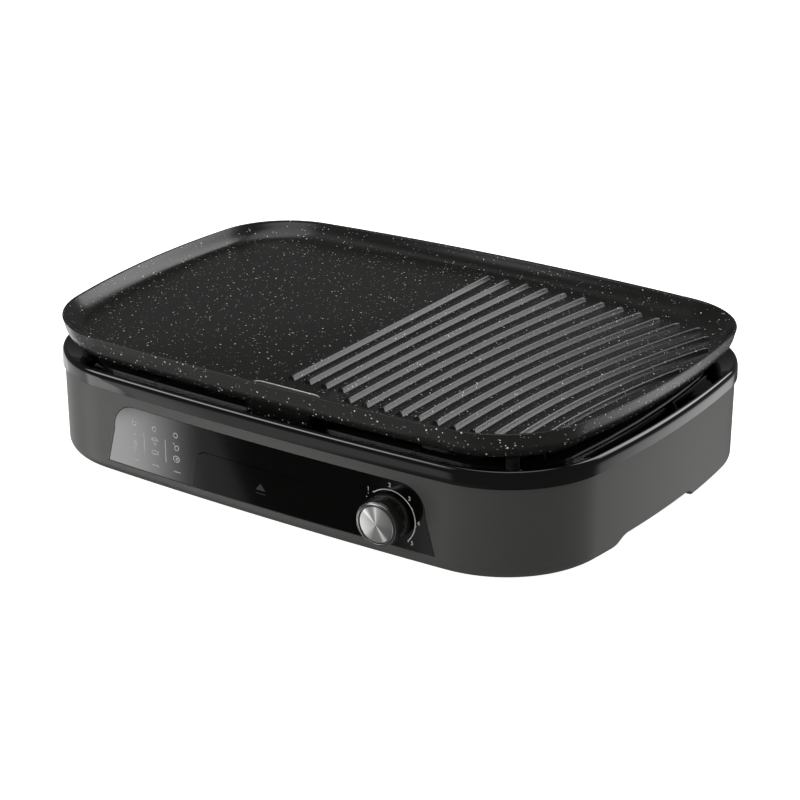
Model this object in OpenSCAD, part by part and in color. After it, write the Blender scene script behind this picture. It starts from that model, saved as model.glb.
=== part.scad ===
// Electric table grill: a cast plate, half flat and half ribbed, that lifts off a
// plastic base with a heating element, a slide-out drip tray and a thermostat knob.
// Millimetres. +Z up, front towards -Y. The base stands on Z = 0.

/* [Plate] */
// Width of the plate over its rim
plate_w = 500; // [480:1:520]
// Rim to the widest line, towards the front
plate_front = 209.3; // [205:0.1:213]
// Rim to the widest line, towards the back
plate_back = 141.3; // [138:0.1:145]
// Radius of the front corners at the rim
plate_front_r = 85; // [75:1:95]
// Radius of the back corners at the rim
plate_back_r = 70; // [65:1:80]
// Radius of the bowed sides
plate_side_bow = 695; // [650:5:750]
// Radius of the bowed front edge
plate_front_bow = 4236; // [3800:10:5000]
// Radius of the bowed back edge
plate_back_bow = 1984; // [1800:4:2300]
// Depth from the rim to the cooking floor
pan_depth = 12.7; // [11:0.1:14]
// Distance in from the rim to the floor at the sides
floor_side_in = 11.7; // [11:0.1:13]
// Distance in from the rim to the floor at the front and back
floor_long_in = 14.5; // [13.5:0.1:16]
// Radius of the floor's corners
floor_r = 62; // [56:1:68]
// Radius of the floor's bowed sides
floor_side_bow = 647; // [620:5:680]
// Radius of the floor's bowed front and back edges
floor_long_bow = 1032; // [950:4:1200]
// Depth from the rim to the foot of the skirt
skirt_depth = 23.5; // [22.5:0.1:25]
// Thickness of the cooking floor
floor_t = 4.3; // [3.8:0.1:5]
// Thickness of the skirt at its foot
skirt_t = 3; // [2.5:0.1:3.6]

/* [Ribs] */
// Number of ribs
rib_count = 15; // [12:1:15]
// Distance between ribs at the front
rib_pitch = 15.05; // [14.5:0.05:15.2]
// Middle of the first, straight rib
rib_first_x = 0; // [-2:0.1:3]
// Width of a rib at its top
rib_top_w = 2.8; // [2.4:0.1:3.6]
// Width of a rib where it meets the floor
rib_base_w = 6.4; // [5.8:0.1:7.5]
// Height of a rib above the floor
rib_h = 4; // [3:0.1:5]
// Radius of the last and most curved rib
rib_last_bow = 696; // [660:4:800]
// Line along Y where every rib runs straight back
rib_straight_y = -165; // [-172:1:-158]
// Front end of the ribs beside the drain
rib_short_y = -164; // [-168:1:-158]
// Front end of the other ribs
rib_long_y = -177; // [-180:1:-172]
// Number of ribs that stop short of the drain
short_ribs = 4; // [3:1:5]
// Gap between the last rib and the foot of the pan's side wall
rib_side_gap = 2.7; // [2.5:0.1:4]
// Gap between the ribs' ends and the foot of the pan's back wall
rib_back_gap = 13; // [11:0.5:16]

/* [Drain] */
// Length of the drain slot
drain_l = 60; // [50:1:64]
// Width of the drain slot
drain_w = 12; // [9:0.5:13]
// Middle of the drain slot
drain_x = 8; // [0:1:12]
// Back edge of the drain slot
drain_back_y = -181; // [-183:0.5:-179]
// Wall of the drain spout
spout_t = 2; // [1.6:0.1:2.4]
// Length of the spout below the floor
spout_l = 36; // [30:1:40]

/* [Body] */
// Width of the base over its ring
body_w = 505; // [504:0.1:512]
// Ring to the widest line, towards the front
body_front = 208.4; // [207:0.1:212]
// Ring to the widest line, towards the back
body_back = 141; // [136:0.1:142]
// Radius of the base's front corners
body_front_r = 88.5; // [85:0.1:98]
// Radius of the base's back corners
body_back_r = 79; // [75:0.1:90]
// Radius of the base's bowed sides
body_side_bow = 885; // [850:5:920]
// Radius of the base's bowed front
body_front_bow = 3580; // [3200:2:4000]
// Radius of the base's bowed back
body_back_bow = 12000; // [9000:100:15000]
// Total height, from the table to the plate's rim
total_h = 115; // [113:0.5:120]
// Wall of the housing
wall = 2.6; // [2.2:0.1:3]
// Gap under the housing, which the feet make
foot_h = 2.5; // [2:0.1:3]
// Radius of the housing's lower edge
edge_r = 8; // [7:0.5:10]
// Height of the plate's rim above the ring
rim_gap = 28.1; // [27:0.1:29]
// Height of the ring, above its seam with the housing
ring_h = 13.2; // [12.5:0.1:14]
// How far the ring stands proud of the housing
ring_proud = 1.9; // [1.6:0.1:2.1]
// Thickness of the ring
ring_t = 2.6; // [2.2:0.1:3]
// Height of the side arches above the table
arch_z = 12.5; // [11:0.5:14]
// Middle of the side arches
arch_y = -47; // [-50:1:-42]
// Half length of the arches along their top
arch_half = 42; // [36:1:44]
// Length of the double curve at each end of an arch
arch_run = 28; // [24:1:30]

/* [Panel] */
// Half width of the control panel at its bottom
panel_half = 152; // [148:0.5:156]
// Half width of the control panel at its top
panel_top_half = 144; // [140:0.5:147]
// Bottom of the control panel
panel_z = 13.7; // [13:0.1:15]
// Gap between the top of the control panel and the ring
panel_top_gap = 9; // [8:0.5:12]
// Radius of the panel's top corners
panel_r = 21; // [16:0.5:23]
// Thickness of the control panel
panel_t = 1.8; // [1.5:0.1:2]
// Half width of the tray's front at its bottom
front_half = 64.5; // [62:0.5:67]
// Half width of the tray's front at its top
front_top_half = 60; // [58:0.5:62]
// Height of the tray's front
front_h = 31.2; // [30:0.1:33]
// Radius of the tray front's top corners
front_r = 8; // [6:0.5:10]

/* [Knob] */
// Place of the knob along the front
knob_x = 115.1; // [112:0.1:117]
// Height of the knob's axis
knob_z = 36.6; // [36:0.1:38]
// Diameter of the knob at its skirt
knob_d = 36; // [34:0.1:37]
// Diameter of the knob at its face
knob_face_d = 35; // [33:0.1:35.5]
// How far the knob stands out of the panel
knob_l = 17.4; // [15:0.1:19]
// Diameter of the spun aluminium cap
cap_d = 28.4; // [27:0.1:29]
// Diameter of the thermostat's shaft
shaft_d = 6; // [5:0.1:6.5]

/* [Inside] */
// Wall of the drip tray
tray_wall = 1.8; // [1.5:0.1:2.2]
// Depth of the drip tray along its travel
tray_l = 128; // [115:1:135]
// Height of the drip tray
tray_h = 25; // [22:0.5:26]
// Thickness of the bottom cover
cover_t = 2.5; // [2.2:0.1:3]
// Diameter of the heating element's tube
tube_d = 8; // [7:0.1:8.5]
// Distance between the element's runs
tube_pitch = 62; // [58:1:64]
// Half length of the element's straight runs
tube_half = 140; // [130:1:144]
// Thickness of the reflector's sheet
sheet = 0.8; // [0.7:0.1:1]
// Height of the reflector's floor
reflector_z = 46; // [45.5:0.5:48]
// Diameter of the rubber feet
foot_d = 20; // [18:0.5:21]
// Middle of a foot in from the side of the base
foot_side_in = 47.5; // [46:0.5:52]
// Middle of a foot in from the front of the base
foot_front_in = 66.4; // [64:0.1:70]
// Middle of a foot in from the back of the base
foot_back_in = 69; // [64:0.1:72]
// Diameter of the cord gland's bore
gland_bore = 7.2; // [7:0.1:8]

/* [Hidden] */
$fn = 48;
eps = 0.01;
rest_gap = 0.3;      // gap between pieces that rest on each other across a joint
slip = 0.3;          // gap round a piece that slides
run_gap = 0.05;      // radial gap of the shaft in its bush
fit_gap = 0.2;       // gap round a piece set into another

corner_steps = 12;
side_steps = 3;
long_steps = 5;

// An outline is [half width, front, back, front radius, back radius, side bow, front bow, back bow].
plate_line = [plate_w / 2, plate_front, plate_back, plate_front_r, plate_back_r,
              plate_side_bow, plate_front_bow, plate_back_bow];
body_line = [body_w / 2, body_front, body_back, body_front_r, body_back_r,
             body_side_bow, body_front_bow, body_back_bow];

// Centre of a corner arc that touches the side arc (radius s, half width a) and the long
// arc (radius l, distance b), in the first quadrant.
function corner_centre(a, b, r, s, l) =
    let (c0 = [0, b - l], c1 = [a - s, 0], r0 = l - r, r1 = s - r,
         v = c1 - c0, d = norm(v), u = v / d, q = (r0 * r0 - r1 * r1 + d * d) / (2 * d))
    c0 + u * q + [-u[1], u[0]] * sqrt(r0 * r0 - q * q) * (cross(u, [1, 1]) < 0 ? -1 : 1);

function heading(v) = atan2(v[1], v[0]);
function arc(c, r, a0, a1, steps) = [for (i = [0 : steps - 1]) let (a = a0 + (a1 - a0) * i / steps)
    c + r * [cos(a), sin(a)]];
function flip_x(p) = [for (q = p) [-q[0], q[1]]];
function flip_y(p) = [for (q = p) [q[0], -q[1]]];
function backwards(p) = [for (i = [len(p) - 1 : -1 : 0]) p[i]];

// Points of one quarter, from the side's middle to just before the long edge's middle.
function quarter(a, b, r, s, l, in) =
    let (c = corner_centre(a, b, r, s, l),
         side_end = heading(c - [a - s, 0]), long_start = heading(c - [0, b - l]))
    concat(arc([a - s, 0], s - in, 0, side_end, side_steps),
           arc(c, r - in, side_end, long_start, corner_steps),
           arc([0, b - l], l - in, long_start, 90, long_steps));

// The whole bowed outline, anticlockwise, drawn in by a distance.
function outline(line, in = 0) =
    let (back = quarter(line[0], line[2], line[4], line[5], line[7], in),
         front = quarter(line[0], line[1], line[3], line[5], line[6], in))
    concat(back, [[0, line[2] - in]],
           backwards(flip_x([for (i = [1 : len(back) - 1]) back[i]])), [[-line[0] + in, 0]],
           flip_x(flip_y([for (i = [1 : len(front) - 1]) front[i]])), [[0, -line[1] + in]],
           backwards(flip_y([for (i = [1 : len(front) - 1]) front[i]])));

// Middle of a corner arc, drawn in by a distance: side is -1 or 1, row 1 for front, 2 for back.
function corner_spot(line, side, row, in) =
    let (c = corner_centre(line[0], line[row], line[row + 2], line[5], line[row + 5]),
         a = (heading(c - [line[0] - line[5], 0]) + heading(c - [0, line[row] - line[row + 5]])) / 2,
         p = c + (line[row + 2] - in) * [cos(a), sin(a)])
    [side * p[0], (row == 1 ? -1 : 1) * p[1]];

// A solid skinned over rings, each [points, height]. It has a flat face at both ends, or
// closes on itself.
module skin(rings, closed = false) {
    n = len(rings[0][0]);
    m = len(rings);
    polyhedron(
        points = [for (ring = rings) for (p = ring[0]) [p[0], p[1], ring[1]]],
        faces = concat(
            closed ? [] : [[for (j = [0 : n - 1]) j], [for (j = [n - 1 : -1 : 0]) (m - 1) * n + j]],
            [for (i = [0 : closed ? m - 1 : m - 2]) for (j = [0 : n - 1])
                [i * n + j, ((i + 1) % m) * n + j, ((i + 1) % m) * n + (j + 1) % n, i * n + (j + 1) % n]]),
        convexity = 8);
}

// Levels, each [distance in, height], from the under face over the outside to the upper face
module loft(line, levels) skin([for (v = levels) [outline(line, v[0]), v[1]]]);

// A closed section, each point [distance in, height], swept round an outline. It runs up
// the outside and down the inside.
module ring_sweep(line, section) skin([for (v = section) [outline(line, v[0]), v[1]]], true);

module slab(line, in, z0, z1) {
    translate([0, 0, z0]) linear_extrude(height = z1 - z0) polygon(outline(line, in));
}

// A flat shape drawn in X and Z, made a solid from y0 to y1.
module upright(y0, y1) {
    translate([0, y1, 0]) rotate([90, 0, 0]) linear_extrude(height = y1 - y0) children();
}

// A solid of revolution about an axis along Y: its profile is drawn as [radius, y].
module turned(x, z, points) {
    translate([x, 0, z]) rotate([-90, 0, 0]) rotate_extrude() polygon(points);
}

module rod(p, q, r) {
    v = q - p;
    translate(p) rotate([0, acos(v[2] / norm(v)), atan2(v[1], v[0])]) cylinder(r = r, h = norm(v));
}

// A wire along a route of straight runs that meet square, with a bend of radius b at each corner
module wire(route, r, b) {
    last = len(route) - 1;
    u = [for (i = [0 : last - 1]) (route[i + 1] - route[i]) / norm(route[i + 1] - route[i])];
    for (i = [0 : last - 1])
        rod(route[i] + (i == 0 ? 0 : b) * u[i], route[i + 1] - (i == last - 1 ? 0 : b) * u[i], r);
    for (i = [1 : last - 1]) {
        p = route[i] - b * u[i - 1] + b * u[i];
        w = cross(u[i - 1], u[i]);
        multmatrix([[-u[i][0], u[i - 1][0], w[0], p[0]], [-u[i][1], u[i - 1][1], w[1], p[1]],
                    [-u[i][2], u[i - 1][2], w[2], p[2]], [0, 0, 0, 1]])
            rotate_extrude(angle = 90) translate([b, 0]) circle(r = r);
    }
}

face_in = ring_proud + 0.1;
panel_face_y = -body_front + face_in;
knob_front_y = panel_face_y - knob_l;
// The origin is on the table, midway between the knob's face and the plate's back rim.
origin_y = -(knob_front_y + plate_back) / 2;
module placed() {
    translate([0, origin_y, 0]) children();
}

/* Plate */

floor_z = total_h - pan_depth;
under_z = floor_z - floor_t;
skirt_z = total_h - skirt_depth;
skirt_in = 17;
lip_w = 2.6;
floor_line = [plate_w / 2 - floor_side_in, plate_front - floor_long_in, plate_back - floor_long_in,
              floor_r, floor_r, floor_side_bow, floor_long_bow, floor_long_bow];
rib_line = [floor_line[0] - rib_side_gap, floor_line[1] - rib_side_gap, floor_line[2] - rib_back_gap,
            floor_r - rib_side_gap, floor_r - rib_back_gap, floor_side_bow - rib_side_gap, floor_long_bow,
            floor_long_bow];
drain_y = drain_back_y - drain_w / 2;
pad_bar_h = 3;

module stadium(l, w, z0, z1) {
    translate([-(l - w) / 2, -w / 2, z0]) cube([l - w, w, z1 - z0]);
    for (side = [-1, 1]) translate([side * (l - w) / 2, 0, z0]) cylinder(d = w, h = z1 - z0);
}

function rib_section(x) = [[x - rib_base_w / 2 - 0.3, floor_z - 1], [x + rib_base_w / 2 + 0.3, floor_z - 1],
    [x + rib_base_w / 2 - 0.3, floor_z + 0.4], [x + rib_top_w / 2 + 0.2, floor_z + rib_h - 0.7],
    [x + rib_top_w / 2 - 0.5, floor_z + rib_h], [x - rib_top_w / 2 + 0.5, floor_z + rib_h],
    [x - rib_top_w / 2 - 0.2, floor_z + rib_h - 0.7], [x - rib_base_w / 2 + 0.3, floor_z + 0.4]];

rib_back_y = rib_line[2] + 1;

// Rib k curves outwards towards the back, on a radius that shrinks from rib to rib.
module rib(k) {
    front_y = k < short_ribs ? rib_short_y : rib_long_y;
    x = rib_first_x + k * rib_pitch;
    if (k == 0) {
        translate([0, rib_back_y, 0]) rotate([90, 0, 0])
            linear_extrude(height = rib_back_y - front_y) polygon(rib_section(x));
    } else {
        bow = rib_last_bow * (rib_count - 1) / k;
        back_a = asin((rib_back_y - rib_straight_y) / bow);
        front_a = asin((rib_straight_y - front_y) / bow);
        translate([x + bow, rib_straight_y, 0]) rotate([0, 0, 180 - back_a])
            rotate_extrude(angle = back_a + front_a, $fn = 720)
                polygon([for (p = rib_section(0)) [p[0] + bow, p[1]]]);
    }
}

// Part of the way from the rim's inner edge to the floor's outline
function wall_line(t) = outline(plate_line, lip_w) * (1 - t) + outline(floor_line) * t;

module grill_plate() color("#2b2c2a") placed() {
    difference() {
        union() {
            skin(concat(
                [for (v = [[skirt_in + skirt_t + 1, under_z], [skirt_in + skirt_t, skirt_z], [skirt_in, skirt_z],
                           [skirt_in - 4.5, skirt_z + 1.3], [skirt_in - 8.6, skirt_z + 4.2],
                           [skirt_in - 12, skirt_z + 8.4], [skirt_in - 14.6, skirt_z + 13.4],
                           [0.9, total_h - 4.5], [0.1, total_h - 1.2], [0, total_h - 0.5], [0.5, total_h],
                           [lip_w - 0.6, total_h]]) [outline(plate_line, v[0]), v[1]]],
                // The wall falls from the rim's outline to the floor's, steeply at first
                [for (v = [[0, 0.07], [0.14, 0.27], [0.32, 0.52], [0.52, 0.74], [0.77, 0.92], [1, 1]])
                    [wall_line(v[0]), total_h - v[1] * pan_depth]]));
            intersection() {
                for (k = [0 : rib_count - 1]) rib(k);
                slab(rib_line, 0, under_z, total_h);
            }
            // Raised bars under the floor that lie on the element's runs
            for (i = [0 : 3]) translate([-tube_half, run_y(i) - tube_d / 2, under_z - pad_bar_h])
                cube([2 * tube_half, tube_d, pad_bar_h + 1]);
            translate([drain_x, drain_y, 0])
                stadium(drain_l + 2 * spout_t, drain_w + 2 * spout_t, under_z - spout_l, under_z + 1);
        }
        translate([drain_x, drain_y, 0]) stadium(drain_l, drain_w, under_z - spout_l - 1, total_h);
    }
}

/* Ring and housing */

seam_z = total_h - rim_gap - ring_h;
ring_top_z = seam_z + ring_h;
ledge_z = seam_z + 4.3;
ledge_in = 24;
ring_inner = 31;
pad_seat_z = ledge_z + 4;
pad_in = skirt_in + skirt_t / 2;
pad_r = 5;
pad_boss_r = pad_r + 1.6;
port = [drain_l + 2 * spout_t + 4, drain_w + 2 * spout_t + 4];
shell_in = ring_proud;
lip_in = ring_t + fit_gap;
lip_t = 2;
shell_top = seam_z - rest_gap;
edge_in = shell_in + edge_r;
arch_end_y = arch_half + arch_run;

module pad_seats(r, z0, z1) {
    for (side = [-1, 1]) for (row = [1, 2])
        translate(concat(corner_spot(plate_line, side, row, pad_in), z0)) cylinder(r = r, h = z1 - z0);
}

module top_bezel() color("#111211") placed() difference() {
    union() {
        ring_sweep(body_line, [
            [0, seam_z], [0.2, ring_top_z - 5.5], [0.8, ring_top_z - 2.2], [1.7, ring_top_z - 0.7],
            [2.8, ring_top_z], [3.9, ring_top_z - 0.1], [5, ring_top_z - 0.8], [ledge_in - 4, ledge_z + 1.2],
            [ledge_in, ledge_z], [ring_inner, ledge_z], [ring_inner, ledge_z - ring_t],
            [ledge_in - 3, ledge_z - ring_t], [ring_t + 1.5, ledge_z + 3],
            [ring_t, ledge_z + 2], [ring_t, seam_z]]);
        pad_seats(pad_boss_r, ledge_z - 1, pad_seat_z);
    }
    pad_seats(pad_r + 0.6, pad_seat_z, total_h);
    translate([drain_x - port[0] / 2, drain_y - port[1] / 2, ledge_z - 20]) cube([port[0], port[1], 60]);
    screw_spots() translate([0, 0, ledge_z - 10]) cylinder(d = 2.6, h = 20);
}

// Flat top, with an outward and an inward curve at each end
arch_turn = 2 * atan(arch_z / arch_run);
arch_r = arch_run / 2 / sin(arch_turn);
function arch_end() = concat(
    [for (i = [0 : 5]) let (a = arch_turn * i / 5) [arch_half + arch_run - arch_r * sin(a), arch_r * (1 - cos(a))]],
    [for (i = [4 : -1 : 0]) let (a = arch_turn * i / 5) [arch_half + arch_r * sin(a), arch_z - arch_r * (1 - cos(a))]]);
module arch_area() {
    translate([arch_y, 0]) polygon(concat([[arch_half + arch_run, -1]], arch_end(),
        backwards(flip_x(arch_end())), [[-arch_half - arch_run, -1]]));
}

// Outline of the panel or of the tray's front, as points in X and Z
function shield(half, top, z0, h, r, in) =
    let (lean = atan2(half - top, h), w = top - in, z1 = z0 + h - in,
         c = [w - r, z1 - r])
    concat([[-half + in, z0 + in], [half - in, z0 + in]],
           [for (i = [0 : 6]) let (a = -lean / 3 + (90 + lean / 3) * i / 6) c + r * [cos(a), sin(a)]],
           [for (i = [6 : -1 : 0]) let (a = -lean / 3 + (90 + lean / 3) * i / 6)
               [-c[0] - r * cos(a), c[1] + r * sin(a)]]);
function panel_shape(in) = shield(panel_half, panel_top_half, panel_z, seam_z - panel_top_gap - panel_z, panel_r, in);
function front_shape(in) = shield(front_half, front_top_half, panel_z, front_h, front_r, in);

boss_spots = [for (side = [-1, 1]) each [corner_spot(body_line, side, 1, 18), corner_spot(body_line, side, 2, 18),
    [side * 80, body_back - 18]]];
boss_r = 5;
boss_top = 32;
cover_top = foot_h + cover_t;
gland_x = 150;
gland_z = 26;
gland_r = 8;

module base_shell() color("#4b4c49") placed() difference() {
    union() {
        ring_sweep(body_line, concat(
            [for (a = [270 : -15 : 180]) [edge_in + edge_r * cos(a), foot_h + edge_r + edge_r * sin(a)]],
            [[shell_in, shell_top], [lip_in, shell_top], [lip_in, ledge_z - ring_t - rest_gap],
             [lip_in + lip_t, ledge_z - ring_t - rest_gap], [lip_in + lip_t, shell_top - 5],
             [shell_in + wall, shell_top - 8]],
            [for (a = [180 : 15 : 270]) [edge_in + (edge_r - wall) * cos(a),
                                         foot_h + edge_r + (edge_r - wall) * sin(a)]]));
        intersection() {
            for (p = boss_spots) translate([p[0], p[1], 0]) {
                translate([0, 0, cover_top]) cylinder(r = boss_r, h = boss_top - cover_top);
                rotate([0, 0, abs(p[0]) < 90 ? 90 : heading([p[0], p[1] + 35])])
                    translate([0, -1, cover_top]) cube([17, 2, boss_top - cover_top - 4]);
            }
            slab(body_line, shell_in + wall / 2, 0, total_h);
        }
    }
    // Recess for the panel, and the window behind it
    difference() {
        upright(-body_front - 5, -body_front + 15) polygon(panel_shape(-fit_gap));
        slab(body_line, face_in + panel_t, 0, total_h);
    }
    upright(-body_front - 5, -body_front + 20) {
        polygon(panel_shape(4));
        polygon(front_shape(-slip));
    }
    for (side = [-1, 1]) translate([side * body_w / 2 - 60, 0, 0]) rotate([90, 0, 90])
        linear_extrude(height = 120) arch_area();
    translate([gland_x, body_back + 10, gland_z]) rotate([90, 0, 0]) cylinder(r = gland_r, h = 30);
    for (p = boss_spots) translate([p[0], p[1], 0]) cylinder(d = 3.2, h = boss_top - 4);
}

// Space behind a side arch, for the fingers; drawn in by a wall for its inside
recess_x = 216;
recess_t = 2;
recess_top = 30;
module recess(in) {
    half = arch_end_y + 4 - in;
    for (side = [-1, 1]) translate([side > 0 ? recess_x + in : -recess_x - in - 60, arch_y - half, foot_h - in])
        cube([60, 2 * half, recess_top - foot_h]);
}

module bottom_cover() color("#3a3b39") placed() difference() {
    union() {
        slab(body_line, edge_in + rest_gap, foot_h, cover_top);
        intersection() {
            recess(0);
            loft(body_line, concat(
                [[edge_in + rest_gap, foot_h], [edge_in + rest_gap, foot_h + wall]],
                [for (a = [255 : -15 : 180]) [edge_in + (edge_r - wall - rest_gap) * cos(a),
                                              foot_h + edge_r + (edge_r - wall - rest_gap) * sin(a)]],
                [[shell_in + wall + rest_gap, recess_top + 5]]));
        }
    }
    recess(recess_t);
    for (p = boss_spots) translate([p[0], p[1], 0]) {
        cylinder(d = 4, h = 20);
        cylinder(d = 8, h = foot_h + 1.2);
    }
    for (p = foot_spots) translate([p[0], p[1], 0]) cylinder(d = foot_plug_d + 2 * fit_gap, h = 20);
    bracket_spots() cylinder(d = 3.2, h = 20);
    // Air slots under the element
    for (i = [-3 : 3]) for (side = [-1, 1]) translate([side * 120 + i * 12 - 2, -50, 0]) cube([4, 70, 20]);
}

/* Feet */

foot_plug_d = 8;
foot_spots = [for (y = [-body_front + foot_front_in, body_back - foot_back_in]) for (side = [-1, 1])
    [side * (body_w / 2 - foot_side_in), y]];

module foot(i) color("#1b1b1b") placed() translate([foot_spots[i][0], foot_spots[i][1], 0]) {
    rotate_extrude() polygon([[0, 0], [foot_d / 2 - 0.8, 0], [foot_d / 2, 0.8], [foot_d / 2, foot_h],
                              [foot_plug_d / 2, foot_h], [foot_plug_d / 2, cover_top + 1], [0, cover_top + 1]]);
}
module foot_front_left() foot(0);
module foot_front_right() foot(1);
module foot_back_left() foot(2);
module foot_back_right() foot(3);

/* Plate pads */

module plate_pad(side, row) color("#202020") placed()
    translate(concat(corner_spot(plate_line, side, row, pad_in), pad_seat_z))
        rotate_extrude() polygon([[0, 0], [pad_r, 0], [pad_r, skirt_z - rest_gap - pad_seat_z - 1],
                                  [pad_r - 1, skirt_z - rest_gap - pad_seat_z], [0, skirt_z - rest_gap - pad_seat_z]]);
module pad_front_left() plate_pad(-1, 1);
module pad_front_right() plate_pad(1, 1);
module pad_back_left() plate_pad(-1, 2);
module pad_back_right() plate_pad(1, 2);

/* Reflector and element */

flange_in = 26;
reflector_in = 34;
reflector_floor_in = 42;
run_mid_y = (plate_back - plate_front) / 2;
function run_y(i) = run_mid_y + (i - 1.5) * tube_pitch;
tube_z = under_z - pad_bar_h - rest_gap - tube_d / 2;
leg_r = 12;
leg_x = tube_half + 40 + leg_r;
leg_end_z = reflector_z - 5;
sensor_x = 60;
sensor_y = run_mid_y - tube_pitch;
sensor_d = 6;
capillary_z = reflector_z - 4;
fuse_y = run_mid_y;

flange_screw_in = 30;
module screw_spots() {
    for (x = [-120, 120]) for (y = [-body_front + flange_screw_in, body_back - flange_screw_in])
        translate([x, y, 0]) children();
}

module heat_reflector() color("#b9bbb8") placed() difference() {
    loft(body_line, [
        [reflector_floor_in, reflector_z], [reflector_in, ledge_z - 4], [reflector_in, ledge_z],
        [flange_in, ledge_z], [flange_in, ledge_z + sheet], [reflector_in + sheet, ledge_z + sheet],
        [reflector_in + sheet, ledge_z - 4], [reflector_floor_in + sheet, reflector_z + sheet]]);
    translate([drain_x - port[0] / 2, -body_front, ledge_z - 1])
        cube([port[0], body_front + drain_y + port[1] / 2, 10]);
    screw_spots() translate([0, 0, ledge_z - 10]) cylinder(d = 3.4, h = 20);
    pad_seats(pad_boss_r + rest_gap, ledge_z - 1, total_h);
    for (y = [run_y(0), run_y(3)]) translate([leg_x, y, 0]) cylinder(d = tube_d + 3, h = 60);
    translate([sensor_x + 44, sensor_y, 0]) cylinder(d = 5, h = 60);
}

module bend(x, y, a) {
    translate([x, y, tube_z]) rotate([0, 0, a]) rotate_extrude(angle = 180) translate([tube_pitch / 2, 0])
        circle(d = tube_d);
}

module heating_element() color("#6d6a66") placed() {
    for (i = [0 : 3]) rod([-tube_half, run_y(i), tube_z], [tube_half, run_y(i), tube_z], tube_d / 2);
    bend(-tube_half, run_y(0) + tube_pitch / 2, 90);
    bend(tube_half, run_y(1) + tube_pitch / 2, -90);
    bend(-tube_half, run_y(2) + tube_pitch / 2, 90);
    for (y = [run_y(0), run_y(3)]) {
        rod([tube_half, y, tube_z], [leg_x - leg_r, y, tube_z], tube_d / 2);
        translate([leg_x - leg_r, y, tube_z - leg_r]) rotate([90, 0, 0])
            rotate_extrude(angle = 90) translate([leg_r, 0]) circle(d = tube_d);
        rod([leg_x, y, leg_end_z], [leg_x, y, tube_z - leg_r], tube_d / 2);
    }
}

module terminal(y) color("#d9d2c2") placed() translate([leg_x, y, 0]) {
    translate([0, 0, leg_end_z - 6]) cylinder(r = tube_d / 2 + 1.5, h = 6);
    translate([-2.5, -0.5, leg_end_z - 14]) cube([5, 1, 8]);
}
module terminal_live() terminal(run_y(0));
module terminal_neutral() terminal(run_y(3));

support_x = 100;
support_over = 14;      // how far a support reaches past a run of the element
support_t = 1.2;
module element_support(x) color("#9a9b98") placed() difference() {
    translate([x - support_t / 2, run_y(0) - support_over, reflector_z + sheet])
        cube([support_t, 3 * tube_pitch + 2 * support_over, tube_z - reflector_z - sheet]);
    for (i = [0 : 3]) rod([x - 2, run_y(i), tube_z], [x + 2, run_y(i), tube_z], tube_d / 2);
    for (i = [0 : 2]) translate([x - 2, run_y(i) + support_over, reflector_z + 12])
        cube([4, tube_pitch - 2 * support_over, tube_z]);
}
module element_support_left() element_support(-support_x);
module element_support_right() element_support(support_x);

/* Thermostat and its sensor */

stat_y = -body_front + 14.4;      // front of the thermostat's body
stat_l = 22;
stat_r = 13;
bush_r = 4.5;
bush_l = 5.2;
plate_t = 1.2;

module thermostat_body() color("#c8c4b8") placed() difference() {
    union() {
        turned(knob_x, knob_z, [[0, stat_y], [stat_r, stat_y], [stat_r, stat_y + stat_l], [0, stat_y + stat_l]]);
        turned(knob_x, knob_z, [[0, stat_y - bush_l], [bush_r, stat_y - bush_l], [bush_r, stat_y + 1], [0, stat_y + 1]]);
    }
    turned(knob_x, knob_z, [[0, stat_y - bush_l - 1], [shaft_d / 2 + run_gap, stat_y - bush_l - 1],
                            [shaft_d / 2 + run_gap, stat_y + 12], [0, stat_y + 12]]);
}

module thermostat_bracket() color("#a7a8a5") placed() difference() {
    union() {
        translate([knob_x - 20, stat_y - plate_t, cover_top]) cube([40, plate_t, knob_z + 18 - cover_top]);
        translate([knob_x - 20, stat_y - plate_t, cover_top]) cube([40, 24, plate_t]);
    }
    turned(knob_x, knob_z, [[0, stat_y - 4], [bush_r + fit_gap, stat_y - 4], [bush_r + fit_gap, stat_y + 4], [0, stat_y + 4]]);
    bracket_spots() cylinder(d = 3.4, h = 20);
}

module bracket_spots() {
    for (side = [-1, 1]) translate([knob_x + side * 15, stat_y + 16, 0]) children();
}

module thermostat_nut() color("#b5a36a") placed() difference() {
    translate([knob_x, stat_y - plate_t, knob_z]) rotate([90, 0, 0]) cylinder(r = 7.5, h = 2.6, $fn = 6);
    turned(knob_x, knob_z, [[0, stat_y - 8], [bush_r, stat_y - 8], [bush_r, stat_y], [0, stat_y]]);
}

module sensor_bulb() color("#a8794a") placed() {
    rod([sensor_x, sensor_y, tube_z], [sensor_x + 36, sensor_y, tube_z], sensor_d / 2);
    wire([[sensor_x + 36, sensor_y, tube_z], [sensor_x + 44, sensor_y, tube_z],
          [sensor_x + 44, sensor_y, capillary_z], [knob_x, sensor_y, capillary_z],
          [knob_x, stat_y + stat_l + 6, capillary_z], [knob_x, stat_y + stat_l + 6, knob_z],
          [knob_x, stat_y + stat_l, knob_z]], 1, 2.5);
}

module sensor_clip() color("#9a9b98") placed() difference() {
    translate([sensor_x + 14, sensor_y - 6, reflector_z + sheet]) cube([8, 12, tube_z - reflector_z - sheet]);
    translate([sensor_x + 13, sensor_y - 5, reflector_z + sheet + 1]) cube([10, 10, tube_z - reflector_z - sheet - 5]);
    rod([sensor_x + 10, sensor_y, tube_z], [sensor_x + 30, sensor_y, tube_z], sensor_d / 2);
}

/* Knob */

knob_back_y = panel_face_y + 0.6;
hub_r = 5.5;
cap_r = cap_d / 2;

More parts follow.
